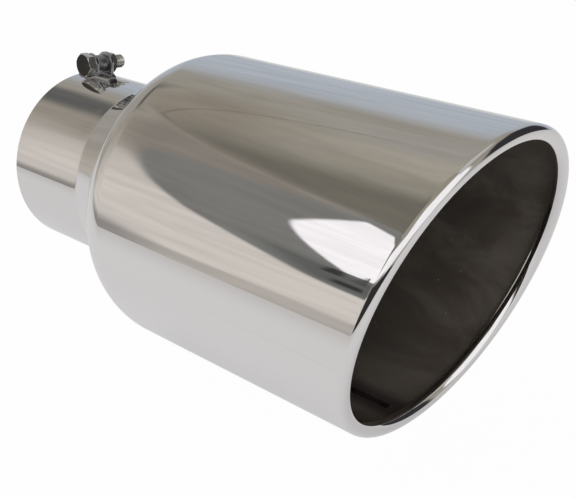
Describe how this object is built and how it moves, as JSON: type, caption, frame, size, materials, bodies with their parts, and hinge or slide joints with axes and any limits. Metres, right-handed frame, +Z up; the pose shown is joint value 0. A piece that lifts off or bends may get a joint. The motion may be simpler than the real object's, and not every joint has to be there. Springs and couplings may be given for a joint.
{
  "type": "exhaust tip",
  "caption": "Bolt-on exhaust tip: a round, slant-cut, rolled-edge shell of polished stainless on a slotted inlet collar drawn tight on the tailpipe by a bolt.",
  "frame": {"origin": "on the tip's axis, at the collar's inlet rim", "axes": "+X along the axis from the inlet to the outlet, +Z up on the side of the clamp's bolt and the mouth's long edge"},
  "size_m": [0.381, 0.2042, 0.2042],
  "materials": {
    "polished_shell": "mirror polished stainless, brushed and clouded inside",
    "polished_collar": "mirror polished stainless",
    "weld_bead": "rippled, heat tinted at the edges",
    "seam_bead": "heat tinted",
    "lug_plate": "satin",
    "zinc_fastener": "zinc plated, dull",
    "sleeve_tube": "fine grained"
  },
  "bodies": {
    "root": {"outer_shell": "polished_shell", "inlet_collar": "polished_collar", "neck_weld": "weld_bead", "shell_seam_weld": "seam_bead", "bolt_side_lug": "lug_plate", "nut_side_lug": "lug_plate", "bolt_side_lug_weld": "weld_bead", "nut_side_lug_weld": "weld_bead", "clamp_bolt": "zinc_fastener", "clamp_nut": "zinc_fastener", "spacer_sleeve": "sleeve_tube"}
  },
  "joints": []
}
